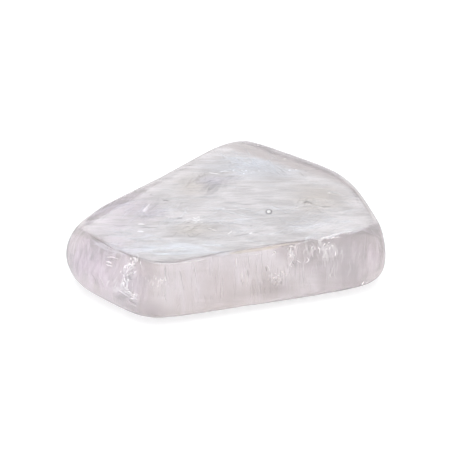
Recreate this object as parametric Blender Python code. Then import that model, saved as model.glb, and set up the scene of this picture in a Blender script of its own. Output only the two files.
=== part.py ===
"""Tumbled clear quartz: one loose polished stone, a worn slab that lies on its base.

Metres, +Z up. The origin is under the middle of the stone, on the surface that it rests on.
+X runs along its long side, away from the narrow end. -Y is the side of the flat front face.

The stone is what tumbling makes of a broken slab. Each face of the slab is a plane, and every
edge is worn round by its own amount. A smooth maximum of the planes gives that worn surface, and
the vertices of a sphere are moved onto it.
"""

import math
from collections import namedtuple

import bmesh
import bpy
import numpy as np
from mathutils import Vector

NODE_NAME = "quartz_stone"

# Side faces of the slab. Heading is where a face looks, seen from above and turned from +X.
# Lean is how far it looks upwards, and distance is how far it lies from the middle of the slab.
Face = namedtuple("Face", "heading lean distance")
FRONT = Face(heading=-75.0, lean=13.0, distance=0.01325)
LEFT_FRONT = Face(heading=-129.5, lean=19.0, distance=0.01815)
LEFT_END = Face(heading=190.0, lean=-12.0, distance=0.02185)
LEFT_BACK = Face(heading=135.0, lean=21.0, distance=0.01065)
RIGHT_BACK = Face(heading=56.0, lean=4.5, distance=0.01540)
RIGHT_END = Face(heading=18.5, lean=13.0, distance=0.01760)
RIGHT_FRONT = Face(heading=-13.0, lean=-11.5, distance=0.02230)
SIDE_FACES = (FRONT, LEFT_FRONT, LEFT_END, LEFT_BACK, RIGHT_BACK, RIGHT_END, RIGHT_FRONT)

# Middle of the slab, from which the faces are measured
MIDDLE = Vector((0.0, -0.00029, 0.0047))

# Top face: its height above the origin, its rise per metre along X and Y, and its slight crown
TOP_HEIGHT = 0.00967
TOP_RISE_X = 0.009
TOP_RISE_Y = 0.045
TOP_CROWN_RADIUS = 0.600

# Shallow bevel along the back right edge of the top
BACK_BEVEL = Face(heading=56.0, lean=74.0, distance=0.00780)

# Base: slightly bowed, so that only its middle is worn flat and touches the ground
BASE_BOW_RADIUS = 0.400
BASE_CUT = 0.00014

# How far each kind of edge is worn round. The top's edge is crisp in front, and softer at the back
# and at both ends of the stone.
CORNER_WEAR = 0.00095
BASE_EDGE_WEAR = 0.0013
BEVEL_WEAR = 0.00035
TOP_EDGE_WEAR_FRONT = 0.00012
TOP_EDGE_WEAR_BACK = 0.00055
TOP_EDGE_SOFTENS_FROM_Y = -0.008
TOP_EDGE_SOFT_FROM_Y = 0.008
TOP_EDGE_SOFTENS_FROM_X = 0.0140
TOP_EDGE_SOFT_FROM_X = 0.0200

# Gentle swells that tumbling leaves on the faces
SWELL_SEED = 7
SWELL_COUNT = 9
SWELL_HEIGHT = 0.000010
SWELL_SHORTEST = 0.009
SWELL_LONGEST = 0.020

# Mesh: columns around the stone, and rings from the middle of the top to the middle of the base
COLUMNS = 96
TOP_RINGS = 17
SIDE_RINGS = 19
BASE_RINGS = 12
RING_COUNT = TOP_RINGS + SIDE_RINGS + BASE_RINGS
TOP_CROWDING = 2.0
BASE_CROWDING = 1.7

# The search for the surface: how far it reaches, in metres for the outline and in lengths of the
# guide line for the stone, and how many times the span is halved
OUTLINE_REACH = 0.040
STONE_REACH = 3.0
SEARCH_STEPS = 40

STONE_COLOUR = (0.86, 0.82, 0.86, 1.0)
STONE_ROUGHNESS = 0.05
STONE_TRANSMISSION = 1.0
QUARTZ_IOR = 1.544


def clear_scene():
    """Remove what the scene starts with."""
    for thing in list(bpy.data.objects):
        bpy.data.objects.remove(thing, do_unlink=True)


def outward(face):
    """Unit vector that a face looks along."""
    heading = math.radians(face.heading)
    lean = math.radians(face.lean)
    flat = math.cos(lean)
    return np.array((math.cos(heading) * flat, math.sin(heading) * flat, math.sin(lean)))


def smooth_max(fields, wear):
    """Largest of the fields at each point, with the change from one to the next worn round."""
    stack = np.stack(fields)
    largest = stack.max(axis=0)
    return largest + wear * np.log(np.exp((stack - largest) / wear).sum(axis=0))


def height_over(points, face):
    """Signed distance of the points in front of a face."""
    return (points - np.array(MIDDLE)) @ outward(face) - face.distance


def side_field(points):
    """The upright faces together, with worn corners: negative inside the outline."""
    return smooth_max([height_over(points, face) for face in SIDE_FACES], CORNER_WEAR)


def distance_from_axis_squared(points):
    """Squared distance of the points from the upright line through the origin."""
    return points[:, 0] ** 2 + points[:, 1] ** 2


def top_face_height(points):
    """Height of the crowned top face above or below each point's place."""
    crown = distance_from_axis_squared(points) / (2.0 * TOP_CROWN_RADIUS)
    return TOP_HEIGHT + TOP_RISE_X * points[:, 0] + TOP_RISE_Y * points[:, 1] - crown


def top_field(points):
    """The crowned top face and the bevel at its back right edge."""
    face = points[:, 2] - top_face_height(points)
    return smooth_max([face, height_over(points, BACK_BEVEL)], BEVEL_WEAR)


def base_field(points):
    """The bowed base, low enough for its middle to be worn flat."""
    bow = distance_from_axis_squared(points) / (2.0 * BASE_BOW_RADIUS)
    return bow - points[:, 2] - BASE_CUT


def swell_field(points):
    """Low waves in many directions, for faces that are hand-sized rather than machined."""
    random = np.random.default_rng(SWELL_SEED)
    total = np.zeros(len(points))
    for _ in range(SWELL_COUNT):
        direction = random.normal(size=3)
        direction /= np.linalg.norm(direction)
        wavelength = random.uniform(SWELL_SHORTEST, SWELL_LONGEST)
        phase = random.uniform(0.0, 2.0 * math.pi)
        total += np.sin(points @ direction * 2.0 * math.pi / wavelength + phase)
    return total * SWELL_HEIGHT


def top_edge_wear(points):
    """Wear of the top's edge, which grows from the front of the stone to its back and its ends."""
    back_span = TOP_EDGE_SOFT_FROM_Y - TOP_EDGE_SOFTENS_FROM_Y
    end_span = TOP_EDGE_SOFT_FROM_X - TOP_EDGE_SOFTENS_FROM_X
    backward = (points[:, 1] - TOP_EDGE_SOFTENS_FROM_Y) / back_span
    sideways = (np.abs(points[:, 0]) - TOP_EDGE_SOFTENS_FROM_X) / end_span
    share = np.clip(np.maximum(backward, sideways), 0.0, 1.0)
    eased = share * share * (3.0 - 2.0 * share)
    return TOP_EDGE_WEAR_FRONT + (TOP_EDGE_WEAR_BACK - TOP_EDGE_WEAR_FRONT) * eased


def stone_field(points):
    """The whole worn stone: negative inside, zero on its surface."""
    upper = smooth_max([side_field(points), top_field(points)], top_edge_wear(points))
    whole = smooth_max([upper, base_field(points)], BASE_EDGE_WEAR)
    return whole + swell_field(points)


def surface_distance(starts, directions, field, furthest):
    """How far along each direction the field crosses zero."""
    near = np.zeros(len(directions))
    far = np.full(len(directions), furthest)
    for _ in range(SEARCH_STEPS):
        halfway = (near + far) / 2.0
        inside = field(starts + directions * halfway[:, None]) < 0.0
        near = np.where(inside, halfway, near)
        far = np.where(inside, far, halfway)
    return near


def outline_radius(turns, height):
    """Distance from the middle to the side faces at one height, for each turn around the stone."""
    directions = np.stack([np.cos(turns), np.sin(turns), np.zeros(len(turns))], axis=1)
    starts = np.zeros((len(turns), 3))
    starts[:, 0] = MIDDLE.x
    starts[:, 1] = MIDDLE.y
    starts[:, 2] = height
    return surface_distance(starts, directions, side_field, OUTLINE_REACH)


def ring_guides():
    """Share of the outline's radius and share of the height, for each ring from top to base."""
    guides = []
    for ring in range(TOP_RINGS):
        share = ring / TOP_RINGS
        guides.append((1.0 - (1.0 - share) ** TOP_CROWDING, 1.0))
    for ring in range(SIDE_RINGS):
        share = ring / SIDE_RINGS
        guides.append((1.0, (1.0 + math.cos(math.pi * share)) / 2.0))
    for ring in range(BASE_RINGS + 1):
        share = 1.0 - ring / BASE_RINGS
        guides.append((1.0 - (1.0 - share) ** BASE_CROWDING, 0.0))
    return guides


def guide_points(turns, rings):
    """Points near the stone's surface, for vertices given by their turn and ring."""
    guides = np.array(ring_guides())
    reach = guides[rings, 0]
    rise = guides[rings, 1]
    top_radius = outline_radius(turns, TOP_HEIGHT)
    base_radius = outline_radius(turns, 0.0)
    radius = reach * (base_radius + (top_radius - base_radius) * rise)
    points = np.zeros((len(turns), 3))
    points[:, 0] = MIDDLE.x + np.cos(turns) * radius
    points[:, 1] = MIDDLE.y + np.sin(turns) * radius
    bevel_height = -height_over(points, BACK_BEVEL) / outward(BACK_BEVEL)[2]
    points[:, 2] = np.minimum(top_face_height(points), bevel_height) * rise
    return points


def press_onto_stone(turns, rings):
    """Places on the stone's surface, for vertices given by their turn and ring."""
    middle = np.array(MIDDLE)
    directions = guide_points(turns, rings) - middle
    starts = np.tile(middle, (len(turns), 1))
    distance = surface_distance(starts, directions, stone_field, STONE_REACH)
    places = starts + directions * distance[:, None]
    places[:, 2] = np.maximum(places[:, 2], 0.0)
    return places


def sphere_grid(sphere):
    """Turn and ring of each vertex of a sphere made of columns and rings."""
    turns = []
    rings = []
    for vertex in sphere.verts:
        turns.append(math.atan2(vertex.co.y, vertex.co.x))
        fall = math.acos(max(-1.0, min(1.0, vertex.co.z)))
        rings.append(round(fall / math.pi * RING_COUNT))
    return np.array(turns), np.array(rings)


def stone_mesh():
    """A sphere of columns and rings, pressed onto the worn stone."""
    sphere = bmesh.new()
    bmesh.ops.create_uvsphere(sphere, u_segments=COLUMNS, v_segments=RING_COUNT, radius=1.0)
    turns, rings = sphere_grid(sphere)
    places = press_onto_stone(turns, rings)
    for vertex, place in zip(sphere.verts, places):
        vertex.co = Vector(place)
    bmesh.ops.recalc_face_normals(sphere, faces=sphere.faces)
    mesh = bpy.data.meshes.new(NODE_NAME)
    sphere.to_mesh(mesh)
    sphere.free()
    mesh.shade_smooth()
    return mesh


def quartz_material():
    """Clear quartz with a breath of lavender, polished."""
    material = bpy.data.materials.new("clear_quartz")
    material.use_nodes = True
    shader = material.node_tree.nodes["Principled BSDF"]
    shader.inputs["Base Color"].default_value = STONE_COLOUR
    shader.inputs["Roughness"].default_value = STONE_ROUGHNESS
    shader.inputs["Metallic"].default_value = 0.0
    shader.inputs["IOR"].default_value = QUARTZ_IOR
    shader.inputs["Transmission Weight"].default_value = STONE_TRANSMISSION
    material.diffuse_color = STONE_COLOUR
    return material


def build_stone():
    """The stone, as one object."""
    stone = bpy.data.objects.new(NODE_NAME, stone_mesh())
    stone.data.materials.append(quartz_material())
    bpy.context.collection.objects.link(stone)
    return stone


clear_scene()
build_stone()
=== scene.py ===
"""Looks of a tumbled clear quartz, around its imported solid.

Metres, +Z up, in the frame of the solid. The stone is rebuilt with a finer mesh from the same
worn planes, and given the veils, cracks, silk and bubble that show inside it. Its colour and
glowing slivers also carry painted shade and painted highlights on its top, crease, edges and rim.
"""

import math
from collections import namedtuple

import bmesh
import bpy
import numpy as np
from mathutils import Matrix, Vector


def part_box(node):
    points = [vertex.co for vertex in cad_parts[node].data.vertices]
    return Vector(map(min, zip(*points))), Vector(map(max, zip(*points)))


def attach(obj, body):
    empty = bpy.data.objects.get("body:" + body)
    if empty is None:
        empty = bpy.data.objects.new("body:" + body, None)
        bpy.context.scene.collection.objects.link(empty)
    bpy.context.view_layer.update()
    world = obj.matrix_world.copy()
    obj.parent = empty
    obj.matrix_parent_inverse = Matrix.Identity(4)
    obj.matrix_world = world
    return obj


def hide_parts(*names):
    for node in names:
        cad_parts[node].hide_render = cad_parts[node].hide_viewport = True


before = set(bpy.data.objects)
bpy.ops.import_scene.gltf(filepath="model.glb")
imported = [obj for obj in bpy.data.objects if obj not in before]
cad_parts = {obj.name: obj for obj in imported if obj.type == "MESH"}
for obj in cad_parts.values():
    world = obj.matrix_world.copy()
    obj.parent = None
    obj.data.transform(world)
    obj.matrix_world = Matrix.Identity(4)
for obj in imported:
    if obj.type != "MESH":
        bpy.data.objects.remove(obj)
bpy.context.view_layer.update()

CAD_NODE = "quartz_stone"
BODY = "root"
WHITE = (1.0, 1.0, 1.0, 1.0)

# Side faces of the slab. Heading is where a face looks, seen from above and turned from +X.
# Lean is how far it looks upwards, and distance is how far it lies from the middle of the slab.
Face = namedtuple("Face", "heading lean distance")
FRONT = Face(heading=-75.0, lean=13.0, distance=0.01325)
LEFT_FRONT = Face(heading=-129.5, lean=19.0, distance=0.01815)
LEFT_END = Face(heading=190.0, lean=-12.0, distance=0.02185)
LEFT_BACK = Face(heading=135.0, lean=21.0, distance=0.01065)
RIGHT_BACK = Face(heading=56.0, lean=4.5, distance=0.01540)
RIGHT_END = Face(heading=18.5, lean=13.0, distance=0.01760)
RIGHT_FRONT = Face(heading=-13.0, lean=-11.5, distance=0.02230)
SIDE_FACES = (FRONT, LEFT_FRONT, LEFT_END, LEFT_BACK, RIGHT_BACK, RIGHT_END, RIGHT_FRONT)

# Middle of the slab, from which the faces are measured
MIDDLE = Vector((0.0, -0.00029, 0.0047))

# Top face: its height above the origin, its rise per metre along X and Y, and its slight crown
TOP_HEIGHT = 0.00967
TOP_RISE_X = 0.009
TOP_RISE_Y = 0.045
TOP_CROWN_RADIUS = 0.600

# Shallow bevel along the back right edge of the top
BACK_BEVEL = Face(heading=56.0, lean=74.0, distance=0.00780)

# Base: slightly bowed, so that only its middle is worn flat and touches the ground
BASE_BOW_RADIUS = 0.400
BASE_CUT = 0.00014

# How far each kind of edge is worn round. The top's edge is crisp in front, and softer at the back
# and at both ends of the stone.
CORNER_WEAR = 0.00095
BASE_EDGE_WEAR = 0.0013
BEVEL_WEAR = 0.00035
TOP_EDGE_WEAR_FRONT = 0.00012
TOP_EDGE_WEAR_BACK = 0.00055
TOP_EDGE_SOFTENS_FROM_Y = -0.008
TOP_EDGE_SOFT_FROM_Y = 0.008
TOP_EDGE_SOFTENS_FROM_X = 0.0140
TOP_EDGE_SOFT_FROM_X = 0.0200

# Waves on the faces: how many, how high and how long they are. The swells are the solid's own, and
# the ripples are the fine unevenness of a tumbled polish.
Waves = namedtuple("Waves", "seed count height shortest longest")
SWELLS = Waves(seed=7, count=9, height=0.000010, shortest=0.009, longest=0.020)
RIPPLES = Waves(seed=11, count=14, height=0.0000022, shortest=0.0022, longest=0.0050)

# Mesh: columns around the stone, and rings from the middle of the top to the middle of the base
COLUMNS = 360
TOP_RINGS = 84
SIDE_RINGS = 76
BASE_RINGS = 44
RING_COUNT = TOP_RINGS + SIDE_RINGS + BASE_RINGS
TOP_CROWDING = 2.0
BASE_CROWDING = 1.7

# The search for the surface: how far it reaches, in metres for the outline and in lengths of the
# guide line for the stone, and how many times the span is halved
OUTLINE_REACH = 0.040
STONE_REACH = 3.0
SEARCH_STEPS = 28

# Camera: it looks at the stone's middle from the front and above
CAMERA_ELEVATION = 33.0
CAMERA_DISTANCE = 0.300
CAMERA_LENS = 182.9
CAMERA_SENSOR = 36.0
CAMERA_CLIP = (0.01, 20.0)
CAMERA_TARGET = Vector((-0.00013, -0.0004, 0.0047))

# Photograph: its side in pixels, and about how much of the stone one pixel covers
PHOTO_SIDE = 450.0
PIXEL_SIZE = 0.000131

# The search for the surface that shows at a pixel: where it starts, and its number of steps
SIGHT_START = 0.270
SIGHT_STEPS = 36
SLOPE_STEP = 0.00001
SINK_STEPS = 4

# Slivers: thin closed shapes that stand for cracks and silk inside the stone, and for the painted
# shade and painted highlights along its crease and edges
SLIVER_BLUNTNESS = 0.5
SLIVER_THICKNESS = 0.00003
STROKE_SPACING = 0.8
FLAW_DEPTH = 0.00012
EDGE_DEPTH = 0.00006
DARK_DEPTH = 0.000192

# Bright cracks and bruises, which glow with painted light, and glints along the edge, which are
# painted highlights. Each is its points in the photograph's pixels, and its width in pixels.
LEFT_SLASH = (
    (((105, 261), (108, 261.7), (111, 263)), 1.8),
    (((105, 263.6), (108, 264.9), (112, 266)), 0.8),
    (((106, 257), (111, 256.6), (117.5, 258.4)), 0.6),
)
LEFT_CLUSTER = (
    (((124, 266.8), (126.5, 265.6), (129.5, 264.6)), 1.6),
    (((122.8, 268.4), (123.3, 270.6), (123.8, 272.6)), 1.5),
    (((127.4, 268.4), (127, 270.8), (127.1, 273.4)), 1),
    (((130.2, 271.6), (132.4, 273.6)), 1.3),
    (((121.4, 273.4), (122.8, 275.2)), 1),
    (((131, 266.4), (133.5, 266.8), (135.2, 269)), 0.6),
    (((140.2, 263.8), (141.2, 266.6), (140.4, 269.4)), 0.7),
    (((136.4, 257.8), (135.6, 260.2), (134.6, 262.4)), 1.1),
    (((137.2, 252.8), (136.4, 255.6)), 1.4),
    (((126.6, 279.2), (126.2, 284), (125.2, 289.6)), 2.8),
    (((122.6, 277.4), (121.4, 281.8), (119.2, 287)), 1.6),
    (((116.6, 280.6), (115, 284), (113.6, 287.4)), 0.6),
    (((122.4, 289.8), (126.4, 292.4), (130.4, 294.2)), 1),
    (((120.6, 291.6), (125, 294.4), (128.6, 296.6)), 0.8),
    (((127.6, 291.6), (131.6, 294.6), (135.2, 297.8)), 1.2),
    (((131.6, 296.8), (134.4, 298.2)), 1.4),
    (((130, 303.6), (133, 304.8), (136, 306.4)), 0.7),
    (((144.2, 276.8), (145.2, 279.4)), 0.7),
    (((151.8, 281.8), (152.4, 285)), 0.6),
    (((99.4, 278.2), (101.6, 282.4), (102.6, 286)), 0.6),
)
TOP_FLECKS = (
    (((142.2, 211.4), (144.6, 208.6), (147.2, 205.8)), 4.6),
    (((145.4, 206.8), (147.6, 204.8), (149.8, 202.6)), 1.6),
    (((137.4, 223.4), (140.6, 223.2), (144.2, 223.8)), 2.4),
    (((136.6, 230.6), (140, 230.4), (143.8, 230.8)), 2.4),
    (((192.2, 216.6), (195.4, 217.4), (199.6, 216.2)), 1.4),
    (((192, 219.4), (195.6, 219.8), (199.4, 218.8)), 1.4),
    (((193, 222), (197.4, 221.8)), 1),
    (((207.4, 227.2), (212, 228.4), (216.8, 230.6)), 1.4),
    (((227, 233.6), (229.4, 231.8), (232, 229.4)), 1.2),
    (((248.2, 232.6), (252.6, 232)), 1.4),
    (((232, 169.4), (234, 169.6)), 2.6),
    (((240.6, 169.4), (242.6, 170.2)), 2),
    (((244.6, 169.6), (246.6, 169.8)), 2.4),
    (((242.4, 172.8), (244.2, 172.4)), 1.8),
    (((283, 158.2), (285.6, 158)), 2.2),
    (((288, 169.8), (290.6, 168.8)), 2),
    (((294.6, 168.8), (297, 169.4)), 1.6),
    (((326.8, 192.2), (330.4, 192)), 2),
    (((218.4, 171.4), (224, 170.2), (229, 170.6)), 1.6),
    (((208, 171.4), (214, 172.6), (220, 173.4)), 1.6),
)
# Painted highlights: glints along the crease and a bright line below it
EDGE_GLINTS = (
    (((320.6, 238.4), (325.6, 236.8), (330, 235.6)), 1),
    (((324, 236), (328.6, 235.4), (333, 234.2)), 0.8),
    (((330, 234.6), (335, 233.4), (340, 232.2)), 1.5),
    (((337, 232.6), (344, 231), (351.4, 230.6)), 1.3),
    (((288.4, 246), (291.2, 245.9), (294, 246.2)), 1),
    (((152.6, 262.6), (160, 263.2), (170, 263.4), (178, 262.8)), 0.5),
    (((178, 262.8), (190, 261.6), (204, 259)), 0.4),
)
FRONT_CRACK = (
    (((290.8, 246.6), (289.8, 250.4), (289.6, 257.2)), 0.7),
    (((289.2, 253.6), (289.8, 256.8)), 1.2),
    (((292.6, 257.6), (291.4, 261.2), (289, 266)), 0.9),
    (((296, 259.8), (300, 262.4)), 0.6),
    (((306.8, 257), (308.4, 260), (305.2, 262.8)), 0.6),
    (((272.8, 252.2), (275.6, 251.6)), 1.5),
    (((271.8, 254.8), (273.2, 254.2)), 0.7),
    (((311.6, 246), (311.2, 248.6)), 0.9),
    (((312.4, 248.4), (312.2, 253), (312.6, 257.2)), 0.4),
    (((318.6, 247), (319.4, 250), (319, 253.2)), 0.5),
    (((335.2, 250.6), (335, 256)), 0.6),
    (((328, 241.8), (329.2, 242.8)), 0.9),
    (((330.4, 245.4), (333.8, 245.8)), 0.6),
)
FRONT_CLUSTER = (
    (((277.2, 275), (278.9, 277)), 1.5),
    (((278.9, 277.6), (281, 281.4)), 0.7),
    (((271.8, 280.6), (272.8, 277.8), (275, 276.8)), 0.8),
    (((273.4, 284.8), (275.4, 280.8)), 0.7),
    (((276.6, 286), (277.4, 282.4)), 0.6),
    (((285.4, 273.6), (286.8, 275.4)), 1),
    (((281.4, 270.8), (282.2, 273.4)), 0.6),
    (((267.2, 265), (269.4, 270.6)), 0.6),
    (((241.6, 271.6), (241.8, 277), (242, 282.4)), 0.6),
    (((241.8, 279.6), (242.4, 282)), 0.8),
    (((246.4, 268.6), (246.6, 277), (246.2, 286)), 0.6),
    (((236, 256.6), (236.4, 266)), 0.6),
    (((361.6, 284.8), (363.8, 281.4)), 2),
    (((366, 283.4), (367.4, 281.8)), 0.7),
)

# Dark cracks, which lie beside the bright ones
DARK_STROKES = (
    (((104, 262.2), (107.4, 263.4), (111.4, 264.7)), 0.9),
    (((109.6, 258.2), (113, 260.8)), 0.9),
    (((120, 276.4), (125, 277.2), (129.4, 279), (132.6, 279.6)), 0.8),
    (((123.8, 278.4), (123.8, 283), (123.4, 287.4)), 0.9),
    (((127.4, 300.2), (131.4, 302), (135.6, 303.9)), 1.4),
    (((132.6, 299.2), (135.4, 299.5)), 0.8),
    (((88.6, 271), (93, 277.2), (96, 283.6)), 0.8),
    (((97, 275.6), (101, 282.6), (103.4, 288.8)), 0.9),
    (((161.4, 199.2), (165, 199.4), (168.8, 200.2)), 1.8),
    (((148.6, 193.5), (152, 194.2)), 1.8),
    (((176, 217.3), (182.2, 217.4)), 1.4),
    (((138, 226.6), (148, 226.4), (159.6, 226.9)), 1.1),
    (((111.6, 223.4), (119, 225.2), (127.2, 224.6)), 1.1),
    (((223.8, 207.2), (232, 207), (240.4, 206.8)), 1.1),
    (((237, 202.9), (247, 203.2), (256.6, 203)), 1.1),
    (((249.6, 224.6), (251.6, 225.2)), 2.2),
    (((232, 235.6), (246, 233), (262.8, 230.4)), 1.1),
    (((300.6, 203), (306.8, 200.8), (313, 203.6)), 2),
    (((319, 206), (330.4, 205.6)), 1.4),
    (((304, 170), (306, 170.6)), 2.4),
    (((287.4, 244.2), (293.4, 244.2)), 0.9),
    (((281, 245.9), (284, 245.8)), 0.9),
    (((292.2, 261.8), (294.2, 264)), 1.3),
    (((265.4, 265.4), (266.6, 271.4)), 0.9),
    (((247.8, 270), (248, 276)), 0.9),
    (((360.2, 281.8), (361.4, 284.6)), 0.9),
    (((275.8, 278.4), (276.6, 281.4)), 0.9),
    (((279.8, 283.6), (282, 280.6)), 0.7),
)

# The grey line of the crease between the top and the front, which is painted shade, its light lower
# edge, which is a painted highlight, and a warm strip
CREASE_SHADE_LINE = (
    (((85.5, 230.6), (91.9, 235.7), (100.8, 240.8), (111, 247.5), (117.4, 250.4)), 1),
    (((115.4, 249.6), (123.9, 252.4), (130.9, 255), (144.3, 258.5), (154.5, 260.4)), 1.1),
    (((150.5, 259.8), (160, 261.2), (167.3, 261.7), (178, 260.7), (192, 258)), 1),
    (((150, 257.4), (166, 259.4), (180, 258.6), (196, 255.6)), 0.6),
    (((186, 259), (207, 254.8), (228, 250.4), (247, 246.5)), 0.7),
    (((243, 247.2), (266, 244.6), (281.6, 242.7), (304.5, 239.7), (319.8, 238.1)), 0.9),
    (((352, 233), (360, 232), (368, 231.4)), 0.4),
    (((288, 156.4), (302, 161.4), (318, 167.6), (332, 174.4), (342, 180.6)), 0.8),
    (((340, 179.4), (350, 186.8), (360, 198.8), (368, 211), (374, 221.6)), 0.6),
)
CREASE_HIGHLIGHT = (
    (((121, 246), (134, 251.5), (150, 255.6), (166, 257.4), (180, 256.4), (200, 252.8)), 0.8),
    (((128, 244.6), (142, 249.6), (158, 252.8), (176, 253), (196, 250.2)), 0.7),
    (((103, 239.4), (112, 245.4), (120, 249.2), (130, 252.6)), 0.8),
    (((148, 261.4), (156, 262.6), (166, 263.2), (178, 262.5), (190, 260.6)), 1),
    (((186, 261.2), (200, 258.6), (214, 255.6), (225, 253.2)), 0.6),
    (((239.5, 255.7), (250, 254.6), (262, 253.2), (269, 252.7)), 1),
    (((284, 244.6), (292, 243.6), (300, 242.6), (308, 241.4)), 0.8),
)
WARM_STRIP = (
    (((228, 253.6), (240, 251.6), (252, 250), (266, 248.4), (280, 246.8)), 3),
    (((262, 247.6), (276, 245.4), (288, 243.8), (300, 242.2)), 1.6),
)

# Veils: see-through wisps scattered about a place. The middle, the reach, the lengths, the widths
# and the bend are in the photograph's pixels, and the turn is in degrees up from its rows.
Veil = namedtuple("Veil", "seed count middle reach turn sway lengths widths bend")
PALE_VEILS = (
    Veil(21, 70, (172, 247), (62, 8), 2, 6, (16, 44), (1, 3.6), 1.2),
    Veil(22, 20, (128, 236), (24, 12), -8, 12, (10, 26), (1, 3.4), 1.5),
    Veil(23, 26, (243, 160), (30, 9), -12, 18, (8, 24), (1, 4), 2),
    Veil(24, 46, (318, 226), (38, 12), 14, 10, (10, 28), (0.8, 2.6), 1.5),
    Veil(25, 60, (240, 214), (66, 24), 2, 12, (12, 34), (0.8, 3), 1.5),
    Veil(26, 34, (330, 200), (30, 20), -4, 14, (8, 22), (0.8, 2.6), 1.5),
    Veil(27, 26, (165, 215), (26, 14), 20, 22, (8, 22), (0.8, 3.2), 2),
    Veil(28, 10, (122, 208), (34, 10), 27, 8, (12, 30), (1.2, 3.4), 1.5),
)
ROSY_VEILS = (
    Veil(81, 32, (82, 256), (22, 34), 84, 10, (14, 30), (4, 8), 1.5),
    Veil(82, 46, (108, 272), (28, 26), 76, 16, (12, 28), (4, 8), 1.5),
    Veil(83, 14, (368, 258), (18, 24), 84, 8, (16, 30), (5, 9), 1.5),
    Veil(84, 16, (141, 292), (8, 26), 88, 6, (14, 30), (3, 7), 1),
)
WHITE_VEILS = (
    Veil(31, 16, (127, 272), (11, 14), 76, 24, (5, 14), (0.8, 2.2), 1.5),
    Veil(32, 18, (117, 288), (10, 10), 40, 30, (5, 12), (1, 3), 1.5),
    Veil(33, 10, (131, 299), (7, 5), -30, 16, (4, 10), (0.8, 2), 1),
    Veil(34, 14, (292, 258), (9, 10), 80, 22, (4, 10), (0.6, 1.6), 1),
    Veil(35, 14, (276, 278), (7, 6), 60, 30, (3, 8), (0.6, 1.4), 1),
    Veil(36, 12, (158, 283), (14, 8), 70, 20, (4, 10), (0.6, 1.6), 1),
    Veil(37, 10, (144, 208), (7, 5), 40, 24, (5, 10), (1, 2.6), 1),
    Veil(38, 24, (330, 262), (30, 16), 84, 12, (6, 16), (0.6, 1.6), 1),
    Veil(39, 18, (312, 250), (24, 7), 80, 25, (5, 14), (1, 2.4), 1),
    Veil(40, 20, (330, 250), (18, 8), 82, 25, (5, 14), (1.6, 4), 1.5),
)
SMOKY_VEILS = (
    Veil(41, 26, (213, 184), (10, 5), 36, 14, (10, 20), (2.5, 5), 2),
    Veil(42, 16, (232, 176), (13, 4), 14, 12, (8, 18), (1.4, 3.6), 2),
    Veil(43, 14, (148, 213), (6, 4), 40, 20, (6, 12), (1.6, 3.6), 1.5),
    Veil(44, 16, (160, 206), (22, 10), 24, 20, (8, 20), (1, 2.8), 2),
    Veil(45, 18, (120, 299), (9, 4), -28, 12, (7, 14), (1.4, 3), 1),
    Veil(46, 24, (96, 279), (9, 9), -56, 8, (10, 18), (1.2, 2.8), 1),
    Veil(47, 18, (262, 226), (46, 12), 4, 12, (8, 22), (0.8, 2.4), 1.5),
)
WARM_VEILS = (
    Veil(51, 26, (312, 203), (12, 6), 8, 24, (5, 14), (0.8, 2.4), 1.5),
    Veil(52, 26, (192, 228), (16, 9), 8, 22, (6, 16), (0.8, 2.6), 1.5),
    Veil(53, 22, (200, 178), (9, 10), 30, 26, (5, 14), (0.8, 2.6), 1.5),
    Veil(54, 20, (288, 168), (20, 6), -24, 14, (6, 14), (0.8, 2.2), 1),
)
# Sparks: small glowing specks, painted highlights where the cracks sparkle
SPARKS = (
    Veil(61, 24, (127, 269), (9, 8), 60, 45, (1.5, 5), (0.4, 1.2), 0.6),
    Veil(62, 11, (124, 284), (4, 8), 84, 14, (3, 8), (0.4, 1.3), 0.6),
    Veil(63, 8, (128, 293), (8, 5), -30, 14, (3, 9), (0.4, 1), 0.6),
    Veil(64, 8, (136, 258), (4, 7), 80, 25, (2, 6), (0.4, 1.2), 0.6),
    Veil(65, 10, (329, 236), (13, 2), 12, 12, (2, 6), (0.3, 0.9), 0.3),
    Veil(66, 12, (291, 256), (5, 9), 80, 30, (1.5, 5), (0.3, 0.8), 0.5),
    Veil(67, 16, (276, 279), (8, 6), 50, 45, (1, 3.5), (0.3, 0.9), 0.4),
    Veil(68, 10, (196, 219), (6, 4), 5, 20, (1.5, 4.5), (0.3, 0.8), 0.3),
    Veil(69, 10, (245, 170), (16, 3), 0, 20, (1, 3), (0.3, 0.8), 0.3),
    Veil(70, 12, (155, 282), (14, 5), 70, 30, (1, 4), (0.3, 0.7), 0.4),
    Veil(71, 10, (320, 248), (26, 6), 70, 40, (1, 4), (0.3, 0.6), 0.4),
)
VEIL_POINTS = 9
VEIL_DEPTHS = (0.00015, 0.0007)
VEIL_MISS = 0.00002

# Bubble near the surface: its middle and half its width and height in pixels
BUBBLE_AT = (268.3, 210.7)
BUBBLE_REACH = (2.0, 2.6)
BUBBLE_RIM_REACH = (3.4, 4.6)
BUBBLE_RIM_DEPTH = 0.00024
BUBBLE_FLATNESS = 0.12
BUBBLE_COLUMNS = 24
BUBBLE_RINGS = 12

# Silk: fine straight wisps inside the stone, which lie along the top and stand behind the sides
Silk = namedtuple("Silk", "seed count depths lengths widths sway")
TOP_SILK = Silk(3, 420, (0.0002, 0.0012), (0.0010, 0.0060), (0.00002, 0.00009), 7.0)
SIDE_SILK = Silk(5, 520, (0.0002, 0.0010), (0.0010, 0.0055), (0.00002, 0.00008), 5.0)
TOP_SILK_HEADING = np.array((1.0, 0.0, 0.0))
SIDE_SILK_HEADING = np.array((0.0, 0.0, 1.0))
SILK_POINTS = 8
SILK_EDGE_CLEARANCE = 0.0012
SIDE_SILK_HEIGHTS = (0.0012, 0.0072)

# Finish of the quartz. Its roughness grows over the haze span of the streaks' noise. A tilt is the
# upward part of a surface's normal, and over the flat tilt the side's look turns into the top's.
QUARTZ_IOR = 1.544
QUARTZ_TRANSMISSION = 0.80
HAZE_ROUGHNESS = (0.03, 0.12)
HAZE_SPAN = (0.3, 0.7)
FLAT_TILT = (0.55, 0.90)

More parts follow.
